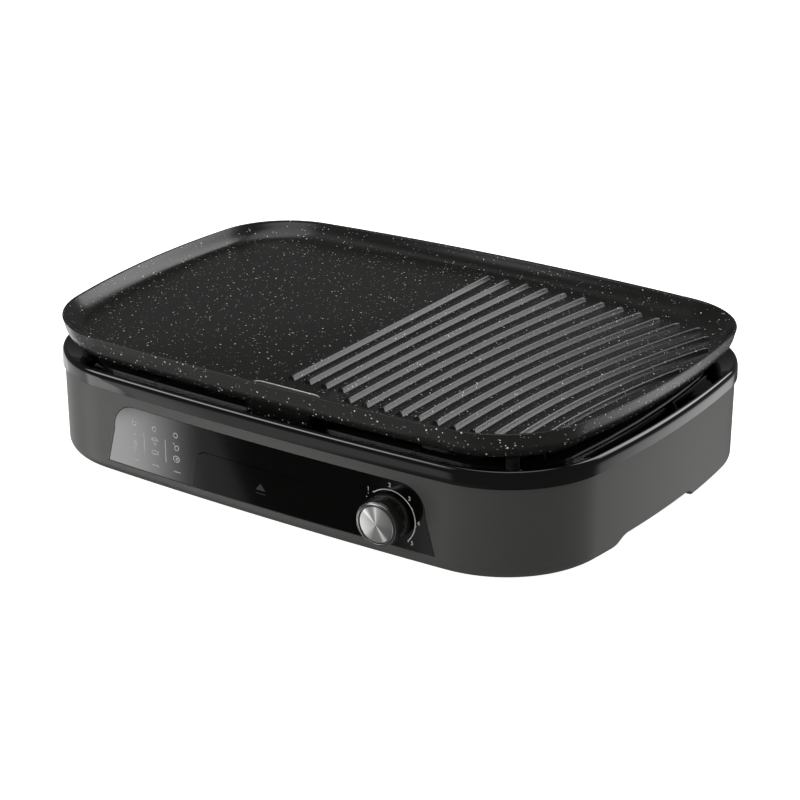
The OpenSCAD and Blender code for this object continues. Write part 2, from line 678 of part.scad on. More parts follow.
module thermostat_shaft() color("#9fa09d") placed() {
    turned(knob_x, knob_z, [[0, knob_front_y + 4], [shaft_d / 2, knob_front_y + 4],
                            [shaft_d / 2, stat_y + 11.5], [0, stat_y + 11.5]]);
}

module knob() color("#1c1d1b") placed() turned(knob_x, knob_z, [
    [shaft_d / 2, knob_back_y + 0.2], [hub_r, knob_back_y + 0.2], [hub_r, knob_front_y + 6],
    [knob_d / 2 - 2.2, knob_front_y + 6], [knob_d / 2 - 2, knob_back_y], [knob_d / 2, knob_back_y],
    [knob_face_d / 2, knob_front_y + 3], [knob_face_d / 2 - 0.8, knob_front_y + 1.6],
    [cap_r - 0.2, knob_front_y + 1.6], [cap_r - 0.2, knob_front_y + 2.2], [0, knob_front_y + 2.2],
    [0, knob_front_y + 4], [shaft_d / 2, knob_front_y + 4]]);

module knob_ring() color("#d5d6d4") placed() turned(knob_x, knob_z, [
    [cap_r, knob_front_y + 1.6], [cap_r, knob_front_y + 0.5], [cap_r + 0.5, knob_front_y],
    [knob_face_d / 2 - 1.5, knob_front_y], [knob_face_d / 2 - 0.8, knob_front_y + 0.7],
    [knob_face_d / 2 - 0.8, knob_front_y + 1.6]]);

module knob_cap() color("#c9cac8") placed() turned(knob_x, knob_z, [
    [0, knob_front_y + 2.2], [cap_r - 0.2, knob_front_y + 2.2], [cap_r - 0.2, knob_front_y + 0.9],
    [cap_r - 0.8, knob_front_y + 0.6], [0, knob_front_y + 0.6]]);

/* Panel */

module control_panel() color("#151614") placed() difference() {
    intersection() {
        upright(-body_front - 5, -body_front + 15) polygon(panel_shape(0));
        slab(body_line, face_in, 0, total_h);
    }
    slab(body_line, face_in + panel_t, 0, total_h + 1);
    upright(-body_front - 5, -body_front + 20) polygon(front_shape(-slip));
    translate([knob_x, -body_front - 5, knob_z]) rotate([-90, 0, 0]) cylinder(r = 5.4, h = 30);
}

/* Drip tray */

tray_half = 56;
tray_z = panel_z + 1.6;
front_t = 2.2;
tray_back_y = -body_front + face_in + front_t + tray_l;

module drip_tray_front() color("#151614") placed() difference() {
    intersection() {
        upright(-body_front - 5, -body_front + 15) polygon(front_shape(0));
        slab(body_line, face_in, 0, total_h);
    }
    slab(body_line, face_in + front_t, 0, total_h + 1);
}

module drip_tray() color("#232422") placed() intersection() {
    difference() {
        translate([-tray_half, -body_front - 5, tray_z])
            cube([2 * tray_half, body_front + 5 + tray_back_y, tray_h]);
        translate([-tray_half + tray_wall, -body_front + face_in + front_t + 3, tray_z + tray_wall])
            cube([2 * (tray_half - tray_wall), tray_l - 3 - tray_wall, tray_h]);
    }
    slab(body_line, face_in + front_t, 0, total_h);
}

rail_top = tray_z - rest_gap;
module tray_rail(side) color("#3a3b39") placed() translate([side * (tray_half + slip), 0, 0]) {
    translate([side > 0 ? -8 : -2, -body_front + 20, cover_top]) cube([10, tray_l - 6, rail_top - cover_top]);
    translate([side > 0 ? 0 : -2, -body_front + 20, cover_top]) cube([2, tray_l - 6, rail_top + 9 - cover_top]);
}
module tray_rail_left() tray_rail(-1);
module tray_rail_right() tray_rail(1);

/* Inside pieces on the bottom cover */

shield_y = stat_y + stat_l + 16;
block = [30, 16, 14];
block_at = [gland_x - 15, body_back - 60, cover_top];

module heat_shield() color("#b9bbb8") placed() {
    translate([knob_x - 30, shield_y, cover_top]) cube([50, sheet, reflector_z - 6 - cover_top]);
    translate([knob_x - 30, shield_y, cover_top]) cube([50, 10, sheet]);
}

module terminal_block() color("#e6e2d6") placed() difference() {
    translate(block_at) cube(block);
    for (x = [5, 15, 25]) translate([block_at[0] + x, block_at[1] - 1, block_at[2] + 6])
        rotate([-90, 0, 0]) cylinder(d = 3.4, h = block[1] + 2);
}

module thermal_fuse() color("#8d8f8c") placed() {
    translate([-12, fuse_y, reflector_z - 4]) rotate([0, 90, 0]) cylinder(d = 8, h = 24);
}

wire_r = 1.3;
bend_r = 3;
wire_z = cover_top + 6;
tab_z = leg_end_z - 14;
module wiring_loom() color("#b8402c") placed() {
    // Live, from the block to the thermostat
    wire([[block_at[0] + 25, block_at[1], wire_z], [block_at[0] + 25, block_at[1] - 8, wire_z],
          [leg_x + 8, block_at[1] - 8, wire_z], [leg_x + 8, run_y(0) - 22, wire_z],
          [leg_x - 14, run_y(0) - 22, wire_z], [leg_x - 14, stat_y + 14, wire_z], [leg_x - 14, stat_y + 14, knob_z],
          [knob_x + stat_r, stat_y + 14, knob_z]], wire_r, bend_r);
    // Neutral, from the block to the element's back leg
    wire([[block_at[0] + 15, block_at[1], wire_z], [block_at[0] + 15, run_y(3), wire_z],
          [leg_x, run_y(3), wire_z], [leg_x, run_y(3), tab_z]], wire_r, bend_r);
    // From the thermostat to the element's front leg
    wire([[knob_x + stat_r, stat_y + 18, knob_z], [knob_x + stat_r + 14, stat_y + 18, knob_z],
          [knob_x + stat_r + 14, run_y(0), knob_z], [knob_x + stat_r + 14, run_y(0), wire_z],
          [leg_x, run_y(0), wire_z], [leg_x, run_y(0), tab_z]], wire_r, bend_r);
}

gland_y = body_back - shell_in - pow(gland_x - gland_r - 2, 2) / 2 / body_back_bow;
module cord_gland() color("#1b1b1b") placed() turned(gland_x, gland_z, [
    [gland_bore / 2, gland_y - 12], [gland_r - 0.2, gland_y - 12], [gland_r - 0.2, gland_y],
    [gland_r + 2, gland_y], [gland_r + 1.4, gland_y + 1.6], [gland_bore / 2, gland_y + 1.6]]);

/* Fasteners */

module cover_screws() color("#6f716e") placed() for (p = boss_spots) translate([p[0], p[1], 0]) {
    translate([0, 0, foot_h - 0.6]) cylinder(d = 7, h = 1.8);
    translate([0, 0, foot_h]) cylinder(d = 3, h = 16);
}

module reflector_screws() color("#8f918e") placed() screw_spots() {
    translate([0, 0, ledge_z + sheet]) cylinder(d = 6, h = 1.6);
    translate([0, 0, ledge_z - 5]) cylinder(d = 2.5, h = 5 + sheet + 0.5);
}

module bracket_screws() color("#8f918e") placed() bracket_spots() {
    translate([0, 0, cover_top + plate_t]) cylinder(d = 5.5, h = 2);
    translate([0, 0, cover_top - 1.5]) cylinder(d = 3, h = plate_t + 2);
}

base_shell();
bottom_cover();
top_bezel();
control_panel();
heat_reflector();
heating_element();
element_support_left();
element_support_right();
terminal_live();
terminal_neutral();
thermostat_body();
thermostat_bracket();
thermostat_nut();
sensor_bulb();
sensor_clip();
thermostat_shaft();
knob();
knob_ring();
knob_cap();
grill_plate();
drip_tray();
drip_tray_front();
tray_rail_left();
tray_rail_right();
heat_shield();
terminal_block();
thermal_fuse();
wiring_loom();
cord_gland();
foot_front_left();
foot_front_right();
foot_back_left();
foot_back_right();
pad_front_left();
pad_front_right();
pad_back_left();
pad_back_right();
cover_screws();
reflector_screws();
bracket_screws();
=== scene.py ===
from math import asin, atan, atan2, cos, hypot, pi, radians, sin, sqrt

import bmesh
import bpy
from mathutils import Matrix, Vector


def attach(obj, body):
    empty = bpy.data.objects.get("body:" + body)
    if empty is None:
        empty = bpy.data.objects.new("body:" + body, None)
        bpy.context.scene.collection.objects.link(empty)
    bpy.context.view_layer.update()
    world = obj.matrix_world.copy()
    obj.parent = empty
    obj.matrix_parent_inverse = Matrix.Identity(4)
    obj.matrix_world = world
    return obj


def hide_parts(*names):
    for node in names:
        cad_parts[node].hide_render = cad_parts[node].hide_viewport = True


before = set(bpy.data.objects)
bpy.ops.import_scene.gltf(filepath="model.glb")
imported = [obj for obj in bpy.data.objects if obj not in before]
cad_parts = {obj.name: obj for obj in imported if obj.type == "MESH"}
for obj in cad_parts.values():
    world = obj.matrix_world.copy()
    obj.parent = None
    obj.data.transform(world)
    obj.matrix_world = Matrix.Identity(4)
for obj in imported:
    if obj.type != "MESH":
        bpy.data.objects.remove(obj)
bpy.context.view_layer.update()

# ---------------------------------------------------------------- Studio and camera
# A white floor that runs on without an edge, under a dim room with a few large soft
# sheets of light. The gloss pieces show these sheets as their bright and dark areas.
scene = bpy.context.scene
scene.view_settings.view_transform = "Standard"
scene.view_settings.look = "None"
scene.view_settings.exposure = 0

camera = bpy.data.objects.new("camera", bpy.data.cameras.new("camera"))
camera.data.lens = 91.54
camera.data.sensor_width = 36
camera.data.clip_start = 0.05
camera.data.clip_end = 60
camera.location = (0.84858, -1.24776, 0.66295)
CAMERA_DOWN, CAMERA_TURN = 22.316, 33.775
camera.rotation_euler = (radians(90 - CAMERA_DOWN), 0, radians(CAMERA_TURN))
scene.collection.objects.link(camera)
scene.camera = camera

world = bpy.data.worlds.new("studio")
world.use_nodes = True
scene.world = world
sky = world.node_tree
sky_out = sky.nodes["Background"]
sky_out.inputs["Color"].default_value = (1, 1, 1, 1)
ROOM = 0.13


def sky_node(kind, operation=None, **values):
    node = sky.nodes.new(kind)
    if operation:
        node.operation = operation
    for slot, value in values.items():
        socket = node.inputs[int(slot[1:])]
        if isinstance(value, bpy.types.NodeSocket):
            sky.links.new(value, socket)
        else:
            socket.default_value = value
    return node.outputs[0]


def ramp(value, start, end, level=1.0):
    """Rises smoothly from 0 at the start to the level at the end."""
    node = sky.nodes.new("ShaderNodeMapRange")
    node.interpolation_type = "SMOOTHSTEP"
    sky.links.new(value, node.inputs["Value"])
    node.inputs["From Min"].default_value = radians(min(start, end))
    node.inputs["From Max"].default_value = radians(max(start, end))
    node.inputs["To Min"].default_value = 0 if start < end else level
    node.inputs["To Max"].default_value = level if start < end else 0
    return node.outputs["Result"]


direction = sky_node("ShaderNodeTexCoord")
axes = sky.nodes.new("ShaderNodeSeparateXYZ")
sky.links.new(direction, axes.inputs[0])
left = sky_node("ShaderNodeMath", "MULTIPLY", i0=axes.outputs["X"], i1=-1.0)
near = sky_node("ShaderNodeMath", "MULTIPLY", i0=axes.outputs["Y"], i1=-1.0)
turn = sky_node("ShaderNodeMath", "ARCTAN2", i0=left, i1=near)
rise = sky_node("ShaderNodeMath", "ARCSINE", i0=axes.outputs["Z"])

# Each sheet: turn from the front towards the left, rise, level, and how much its edges
# lean. A side is where the light starts, is full, is still full, and has gone, all in
# degrees. The one with a level below 0 is a dark screen in front of the panel.
SHEETS = [
    ((-190, -185, 185, 190), (62, 70, 95, 100), 2.6, 0),
    ((14, 25, 45.2, 45.5), (-22.6, -21.6, -16, -9), 0.6, 0),
    ((39, 44, 45.2, 45.5), (-22.4, -21.6, -16, -9), 0.5, 0),
    ((14, 25, 60, 66), (10, 16, 36, 42), 1.6, 0),
    ((45.5, 45.9, 56, 64), (-21.8, -20, -14, -8), 1.7, 0),
    ((45.5, 45.9, 100, 110), (-21.8, -20, -14, -8), 1.1, 0),
    ((41.5, 47, 56, 84), (-35, -29, -22.7, -21.9), 5.6, 0),
    ((39.8, 40.0, 112, 122), (-75, -60, -22.9, -22.2), 0.24, 0.9),
    ((-25, 5, 27, 31), (-45, -35, -23.4, -22.6), 0.4, 0),
    ((28.5, 32, 38.5, 41), (-45, -38, -22.7, -22.2), -0.1, 0),
    ((-179, -158, -154, -120), (-45, -32, -20, -14), 1.8, 0),
    ((-165, -156, -140, -124), (4, 9, 48, 60), 5.4, 0),
    ((24, 32, 56, 66), (13, 18, 29, 35), 5.0, 0),
    ((96, 108, 140, 150), (-40, -30, -14, -6), 1.2, 0),
]
LEAN_FROM = radians(24)
light = None
for (t0, t1, t2, t3), (r0, r1, r2, r3), level, lean in SHEETS:
    across = turn
    if lean:
        slant = sky_node("ShaderNodeMath", "MULTIPLY_ADD", i0=rise, i1=-lean, i2=-lean * LEAN_FROM)
        across = sky_node("ShaderNodeMath", "ADD", i0=turn, i1=slant)
    sides = sky_node("ShaderNodeMath", "MULTIPLY", i0=ramp(across, t0, t1), i1=ramp(across, t3, t2))
    ends = sky_node("ShaderNodeMath", "MULTIPLY", i0=ramp(rise, r0, r1), i1=ramp(rise, r3, r2, level))
    sheet = sky_node("ShaderNodeMath", "MULTIPLY", i0=sides, i1=ends)
    light = sky_node("ShaderNodeMath", "ADD", i0=sheet, i1=light if light else ROOM)
seen = sky.nodes.new("ShaderNodeLightPath").outputs["Is Camera Ray"]
backdrop = sky.nodes.new("ShaderNodeMix")
sky.links.new(seen, backdrop.inputs[0])
sky.links.new(light, backdrop.inputs[2])
backdrop.inputs[3].default_value = 1.05
sky.links.new(backdrop.outputs[0], sky_out.inputs["Strength"])

FLOOR_HALF = 12
floor = bpy.data.objects.new("floor", bpy.data.meshes.new("floor"))
bm = bmesh.new()
bmesh.ops.create_grid(bm, x_segments=2, y_segments=2, size=FLOOR_HALF)
bm.to_mesh(floor.data)
bm.free()
paper = bpy.data.materials.new("paper")
paper.use_nodes = True
paper_shader = paper.node_tree.nodes["Principled BSDF"]
paper_shader.inputs["Base Color"].default_value = (0.75, 0.75, 0.75, 1)
paper_shader.inputs["Roughness"].default_value = 0.9
paper_shader.inputs["Emission Color"].default_value = (1, 1, 1, 1)
paper_shader.inputs["Emission Strength"].default_value = 0.97
floor.data.materials.append(paper)
floor.visible_glossy = False
scene.collection.objects.link(floor)

# ---------------------------------------------------------------- Bottom cover and feet
# A moulded polypropylene cover closes the base from below, with air slots under the
# element. Six screws hold it up to the housing, and four soft rubber feet plug into it.
def moulded(name, base, rough, metallic=0.0, mottle=0.06, grain=900.0, bump=0.0):
    """A finish whose colour, gloss and relief all follow one fine grain."""
    mat = bpy.data.materials.new(name)
    mat.use_nodes = True
    nodes, links = mat.node_tree.nodes, mat.node_tree.links
    shader = nodes["Principled BSDF"]
    shader.inputs["Metallic"].default_value = metallic
    coords = nodes.new("ShaderNodeTexCoord")
    noise = nodes.new("ShaderNodeTexNoise")
    noise.inputs["Scale"].default_value = grain
    noise.inputs["Detail"].default_value = 3
    links.new(coords.outputs["Object"], noise.inputs["Vector"])
    shade = nodes.new("ShaderNodeMapRange")
    shade.inputs["To Min"].default_value = 1 - mottle
    shade.inputs["To Max"].default_value = 1 + mottle
    links.new(noise.outputs["Fac"], shade.inputs["Value"])
    tint = nodes.new("ShaderNodeVectorMath")
    tint.operation = "SCALE"
    tint.inputs[0].default_value = base
    links.new(shade.outputs["Result"], tint.inputs["Scale"])
    links.new(tint.outputs["Vector"], shader.inputs["Base Color"])
    gloss = nodes.new("ShaderNodeMapRange")
    gloss.inputs["To Min"].default_value = rough * 0.9
    gloss.inputs["To Max"].default_value = rough * 1.1
    links.new(noise.outputs["Fac"], gloss.inputs["Value"])
    links.new(gloss.outputs["Result"], shader.inputs["Roughness"])
    if bump:
        relief = nodes.new("ShaderNodeBump")
        relief.inputs["Strength"].default_value = bump
        relief.inputs["Distance"].default_value = 0.0003
        links.new(noise.outputs["Fac"], relief.inputs["Height"])
        links.new(relief.outputs["Normal"], shader.inputs["Normal"])
    return mat


def dress(mat, *names):
    """Gives nodes of the frame their finish."""
    for name in names:
        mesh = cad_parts[name].data
        mesh.materials.clear()
        mesh.materials.append(mat)


dress(moulded("cover_plastic", (0.02, 0.02, 0.019), 0.55, bump=0.15), "bottom_cover")
rubber = moulded("rubber_black", (0.011, 0.011, 0.011), 0.75, mottle=0.12, grain=1500, bump=0.3)
dress(rubber, "foot_front_left", "foot_front_right", "foot_back_left", "foot_back_right")
screw_steel = moulded("screw_steel", (0.35, 0.35, 0.34), 0.32, 1.0, 0.1, 1200)
dress(screw_steel, "cover_screws")

# ---------------------------------------------------------------- Housing
# The matt wall of the base, injection moulded in one piece with a fine spark grain. It
# bows on all four sides, turns under at the foot, and an arch in each side lets the
# fingers in. The front has a shallow recess for the panel and a window behind it.
MM = 0.001
SHIFT_Y = 41.25
# Half width, front, back, front radius, back radius, side bow, front bow, back bow
BODY = (252.5, 208.4, 141.0, 88.5, 79.0, 885.0, 3580.0, 12000.0)
SEAM_Z = 73.7
SHELL_IN = 1.9
WALL = 2.6
EDGE_R = 8.0
BOTTOM = 2.5
ARCH = {"z": 12.5, "y": -47.0, "half": 42.0, "run": 28.0, "from": 190, "through": 70}
TONGUE_IN = 4.8
SHARP = 40


def place(x, y, z):
    """A point given in millimetres from the widest line of the base, in the part's frame."""
    return Vector((x, y + SHIFT_Y, z)) * MM


def corner_centre(a, b, r, s, l):
    """The centre of the corner arc that touches the side arc and the long arc."""
    low, high = Vector((0, b - l)), Vector((a - s, 0))
    d = (high - low).length
    u = (high - low) / d
    q = ((l - r) ** 2 - (s - r) ** 2 + d * d) / (2 * d)
    side = Vector((-u.y, u.x))
    if side.x + side.y < 0:
        side = -side
    return low + u * q + side * sqrt((l - r) ** 2 - q * q)


def arc(c, r, start, end, steps):
    turns = [start + (end - start) * i / steps for i in range(steps)]
    return [(c[0] + r * cos(a), c[1] + r * sin(a)) for a in turns]


def quarter(a, b, r, s, l, inset):
    c = corner_centre(a, b, r, s, l)
    side_end = atan2(c.y, c.x - a + s)
    long_start = atan2(c.y - b + l, c.x)
    return (arc((a - s, 0), s - inset, 0, side_end, 12) + arc(c, r - inset, side_end, long_start, 36)
            + arc((0, b - l), l - inset, long_start, pi / 2, 24) + [(0, b - inset)])


def outline(line, inset=0.0):
    """The bowed outline, anticlockwise, drawn in by a distance."""
    back = quarter(line[0], line[2], line[4], line[5], line[7], inset)
    front = quarter(line[0], line[1], line[3], line[5], line[6], inset)
    ring = back[:-1] + [(-x, y) for x, y in reversed(back)][:-1]
    return ring + [(-x, -y) for x, y in front[:-1]] + [(x, -y) for x, y in reversed(front)][:-1]


def level(points, z):
    return [(x, y, z) for x, y in points]


def edge_ring(bm, points):
    verts = [bm.verts.new(place(*p)) for p in points]
    return [bm.edges.new(pair) for pair in zip(verts, verts[1:] + verts[:1])]


def loft(bm, rings, closed=False):
    """Extrudes an edge ring from outline to outline. The ends are filled, or joined."""
    first = edges = edge_ring(bm, rings[0])
    verts = [edge.verts[0] for edge in edges]
    for ring in rings[1:] + rings[:1] * closed:
        made = bmesh.ops.extrude_edge_only(bm, edges=edges)["geom"]
        fresh = {v for v in made if isinstance(v, bmesh.types.BMVert)}
        verts = [next(e.other_vert(v) for e in v.link_edges if e.other_vert(v) in fresh) for v in verts]
        for v, p in zip(verts, ring):
            v.co = place(*p)
        edges = [e for e in made if isinstance(e, bmesh.types.BMEdge) and fresh.issuperset(e.verts)]
    if closed:
        bmesh.ops.remove_doubles(bm, verts=bm.verts, dist=1e-7)
    else:
        bmesh.ops.edgeloop_fill(bm, edges=first)
        bmesh.ops.edgeloop_fill(bm, edges=edges)
    return bm


def prism(bm, points, push):
    """A flat shape pushed along a vector into a solid."""
    face = bmesh.ops.edgeloop_fill(bm, edges=edge_ring(bm, points))["faces"]
    made = bmesh.ops.extrude_face_region(bm, geom=face)["geom"]
    verts = [v for v in made if isinstance(v, bmesh.types.BMVert)]
    bmesh.ops.translate(bm, verts=verts, vec=Vector(push) * MM)
    return bm


def settle(name, bm, mat, body, node, angle):
    """Makes the mesh a finished piece that rides a body and stands for a node."""
    bmesh.ops.recalc_face_normals(bm, faces=bm.faces)
    mesh = bpy.data.meshes.new(name)
    bm.to_mesh(mesh)
    bm.free()
    mesh.shade_smooth()
    mesh.set_sharp_from_angle(angle=radians(angle))
    mesh.materials.append(mat)
    piece = bpy.data.objects.new(name, mesh)
    scene.collection.objects.link(piece)
    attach(piece, body)
    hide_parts(node)
    return piece


def cut(piece, bm, angle):
    """Takes a closed tool out of a finished piece."""
    bmesh.ops.recalc_face_normals(bm, faces=bm.faces)
    tool = bpy.data.objects.new("tool", bpy.data.meshes.new("tool"))
    bm.to_mesh(tool.data)
    bm.free()
    scene.collection.objects.link(tool)
    step = piece.modifiers.new("cut", "BOOLEAN")
    step.operation = "DIFFERENCE"
    step.solver = "EXACT"
    step.object = tool
    whole = piece.evaluated_get(bpy.context.evaluated_depsgraph_get())
    baked = bpy.data.meshes.new_from_object(whole)
    piece.modifiers.clear()
    piece.data = baked
    bpy.data.objects.remove(tool)
    baked.shade_smooth()
    baked.set_sharp_from_angle(angle=radians(angle))


foot_turns = [pi / 2 * k / 14 for k in range(15)]
edge_in = SHELL_IN + EDGE_R
section = [(edge_in - EDGE_R * sin(a), BOTTOM + EDGE_R * (1 - cos(a))) for a in foot_turns]
section += [(SHELL_IN, z) for z in (BOTTOM + 20, SEAM_Z - 20, SEAM_Z - 0.6)]
section += [(SHELL_IN + 0.3, SEAM_Z - 0.3), (TONGUE_IN, SEAM_Z - 0.3), (TONGUE_IN, SEAM_Z - 5.3),
            (SHELL_IN + WALL, SEAM_Z - 8.3)]
section += [(edge_in - (EDGE_R - WALL) * sin(a), BOTTOM + EDGE_R - (EDGE_R - WALL) * cos(a))
            for a in reversed(foot_turns[::2])]
housing_plastic = moulded("housing_plastic", (0.034, 0.034, 0.031), 0.47, mottle=0.1, grain=2600, bump=0.14)
bm = loft(bmesh.new(), [level(outline(BODY, i), z) for i, z in section], closed=True)
shell = settle("shell", bm, housing_plastic, "housing", "base_shell", SHARP)

swing = 2 * atan(ARCH["z"] / ARCH["run"])
radius = ARCH["run"] / 2 / sin(swing)
foot_curve = [(ARCH["half"] + ARCH["run"] - radius * sin(swing * k / 8), radius * (1 - cos(swing * k / 8)))
              for k in range(9)]
head_curve = [(ARCH["half"] + radius * sin(swing * k / 8), ARCH["z"] - radius * (1 - cos(swing * k / 8)))
              for k in range(7, -1, -1)]
half_arch = [(ARCH["half"] + ARCH["run"], -3)] + foot_curve + head_curve
arch = half_arch + [(-y, z) for y, z in reversed(half_arch)]
for side in (-1, 1):
    opening = [(side * ARCH["from"], ARCH["y"] + y, z) for y, z in arch]
    cut(shell, prism(bmesh.new(), opening, (side * ARCH["through"], 0, 0)), SHARP)


def corner_arc(half, top, z0, h, r, inset, steps):
    """The round upper corner, from the leaning side to the flat top."""
    tilt = atan2(half - top, h) / 3
    turns = [-tilt + (pi / 2 + tilt) * k / steps for k in range(steps + 1)]
    return [(top - inset - r + r * cos(a), z0 + h - inset - r + r * sin(a)) for a in turns]


def shield(half, top, z0, h, r, inset, steps=14):
    """The panel's outline in X and Z: straight foot, leaning sides, round upper corners."""
    right = [(half - inset, z0 + inset)] + corner_arc(half, top, z0, h, r, inset, steps)
    return right + [(-x, z) for x, z in reversed(right)]


# Half width at the foot, half width at the top, foot, height, corner radius
DRAWER_FRONT = (64.5, 60.0, 13.7, 31.2, 8.0)
DRAWER_GAP = 0.3


def upright(points, y0=-214, y1=-190):
    """A tool drawn in X and Z that runs from y0 to y1, by default through the front."""
    return prism(bmesh.new(), [(x, y0, z) for x, z in points], (0, y1 - y0, 0))


def bowed_front(x, inset):
    """Where the front's arc, drawn in by a distance, stands at x."""
    return -BODY[1] + BODY[6] - sqrt((BODY[6] - inset) ** 2 - x * x)


def bowed_sheet(half, top, z0, h, r, inset, thick, ease=0.0):
    """A grid bent to the bowed front, drawn in to the panel's outline and thickened."""
    corner = corner_arc(half, top, z0, h, r, 0, 12)
    x1, z1 = corner[0]
    rows = [(half + (x1 - half) * t, z0 + (z1 - z0) * t) for t in (0, 0.02, 0.2, 0.4, 0.6, 0.8)] + corner
    bm = bmesh.new()
    bmesh.ops.create_grid(bm, x_segments=48, y_segments=len(rows) - 1, size=1)
    for v in bm.verts:
        half_width, z = rows[round((v.co.y + 1) / 2 * (len(rows) - 1))]
        x = v.co.x * half_width
        v.co = place(x, bowed_front(x, inset), z)
    rim = [edge for edge in bm.edges if edge.is_boundary]
    made = bmesh.ops.extrude_face_region(bm, geom=bm.faces[:], use_keep_orig=True)["geom"]
    verts = [v for v in made if isinstance(v, bmesh.types.BMVert)]
    bmesh.ops.translate(bm, verts=verts, vec=(0, thick * MM, 0))
    if ease:
        bmesh.ops.bevel(bm, geom=rim, offset=ease * MM, segments=2, profile=0.6, affect="EDGES", material=-1)
    return bm


FACE_IN = SHELL_IN + 0.1
PANEL_T = 1.8
PANEL_H = SEAM_Z - 22.7
cut(shell, bowed_sheet(152.2, 144.2, 13.5, PANEL_H + 0.4, 21.2, FACE_IN + PANEL_T, -8), SHARP)
cut(shell, upright(shield(148, 140, 17.7, PANEL_H - 8, 17, 0)), SHARP)
cut(shell, upright(shield(*DRAWER_FRONT, -DRAWER_GAP)), SHARP)


def circle(u, v, r):
    """Points round a centre, for holes and posts."""
    return [(u + r * cos(2 * pi * k / 40), v + r * sin(2 * pi * k / 40)) for k in range(40)]


GLAND = {"x": 150.0, "z": 26.0, "r": 8}
cut(shell, upright(circle(GLAND["x"], GLAND["z"], GLAND["r"]), 120, 150), SHARP)

# ---------------------------------------------------------------- Cord gland
# A soft rubber bush pushed into the back wall, with a flange outside and a bore for a
# round mains cord. The cord isn't shown.
dress(rubber, "cord_gland")

# ---------------------------------------------------------------- Control panel
# A thin high-gloss acrylic fascia, glued into the recess of the bowed front. Its foot is
# straight and its upper corners are round. The drawer's window and the shaft's hole go
# through it.
KNOB = (115.1, 36.6)
SHAFT_HOLE_R = 5.4
EASE = 0.35
GLOSS_SHARP = 12
bezel_gloss = moulded("bezel_gloss", (0.0014, 0.0014, 0.0013), 0.05, mottle=0.15, grain=60)
bm = bowed_sheet(152, 144, 13.7, PANEL_H, 21, FACE_IN, PANEL_T, EASE)
panel = settle("panel", bm, bezel_gloss, "housing", "control_panel", GLOSS_SHARP)
cut(panel, upright(shield(*DRAWER_FRONT, -DRAWER_GAP)), GLOSS_SHARP)
cut(panel, upright(circle(*KNOB, SHAFT_HOLE_R)), GLOSS_SHARP)

# ---------------------------------------------------------------- Print on the panel
# Pale grey screen print: three columns of food pictures with lines between them, the
# knob's scale from 1 to 5, two dots for off, and an arrow over a bar on the drawer. The
# strokes are drawn as fine tubes, pressed flat on the bowed face.
def ellipse(cx, cz, rx, rz, lean=0.0, start=0, end=360, steps=24):
    turns = [radians(start + (end - start) * k / steps) for k in range(steps + 1)]
    return [(cx + rx * cos(a) * cos(lean) - rz * sin(a) * sin(lean),
             cz + rx * cos(a) * sin(lean) + rz * sin(a) * cos(lean)) for a in turns]


def ink(name, body, mat, strokes, width, digits=()):
    """Strokes and digits, laid on the panel's face as one mesh."""
    bm = bmesh.new()
    curve = bpy.data.curves.new(name, "CURVE")
    curve.dimensions = "3D"
    curve.bevel_depth = width / 2
    curve.bevel_resolution = 1
    for points in strokes:
        line = curve.splines.new("POLY")
        line.points.add(len(points) - 1)
        for spot, (x, z) in zip(line.points, points):
            spot.co = (x, z, 0, 1)
    drawn = [(curve, 0, 0)]
    for text, x, z, size in digits:
        glyph = bpy.data.curves.new(name, "FONT")
        glyph.body = text
        glyph.size = size
        glyph.align_x = "CENTER"
        glyph.align_y = "CENTER"
        glyph.extrude = 0.1
        drawn.append((glyph, x, z))
    for data, x, z in drawn:
        source = bpy.data.objects.new(name, data)
        mesh = bpy.data.meshes.new_from_object(source)
        mesh.transform(Matrix.Translation((x, z, 0)))
        bm.from_mesh(mesh)
        bpy.data.objects.remove(source)
    for v in bm.verts:
        x, z, depth = v.co
        v.co = place(x, bowed_front(x, FACE_IN) - 0.02 - max(0, depth) * 0.1, z)
    bmesh.ops.recalc_face_normals(bm, faces=bm.faces)
    mesh = bpy.data.meshes.new(name)
    bm.to_mesh(mesh)
    bm.free()
    mesh.materials.append(mat)
    piece = bpy.data.objects.new(name, mesh)
    scene.collection.objects.link(piece)
    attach(piece, body)


COLUMNS = (-123.0, -102.5, -81.0)
foods = [ellipse(x, 52, 1.9, 1.9) for x in COLUMNS]
foods += [[(x - 3.4, 21.6), (x + 3.4, 21.6)] for x in COLUMNS]
x = COLUMNS[0]
foods += [[(x - 0.9, 44.6), (x - 0.9, 42.4)], [(x + 0.9, 44.6), (x + 0.9, 42.4)]]
foods += [ellipse(x, 33, 1.5, 4.2), [(x, 29.8), (x, 36.2)]]
x = COLUMNS[1]
foods += [ellipse(x, 42.6, 3, 2.2, 0, 0, 180), [(x - 3, 42.6), (x + 3, 42.6)]]
foods += [ellipse(x, 41, 1.1, 2, 0, 180, 360)]
foods += [ellipse(x - 0.7, 32.4, 2.8, 1.5), [(x + 2, 32.4), (x + 3.8, 33.8)], [(x + 2, 32.4), (x + 3.8, 31)]]
x = COLUMNS[2]
foods += [ellipse(x + 0.7, 41.6, 2.3, 1.7, 0.8), [(x - 0.8, 43.2), (x - 2.8, 45.6)]]
foods += [ellipse(x, 32.4, 3, 2.5), ellipse(x + 0.6, 32.4, 1.1, 0.9)]
foods += [[(x, 27), (x, 46)] for x in (-113.4, -91.8)]
print_grey = moulded("print_grey", (0.36, 0.36, 0.34), 0.5, mottle=0.15, grain=3000)
ink("food_print", "housing", print_grey, foods, 0.75)

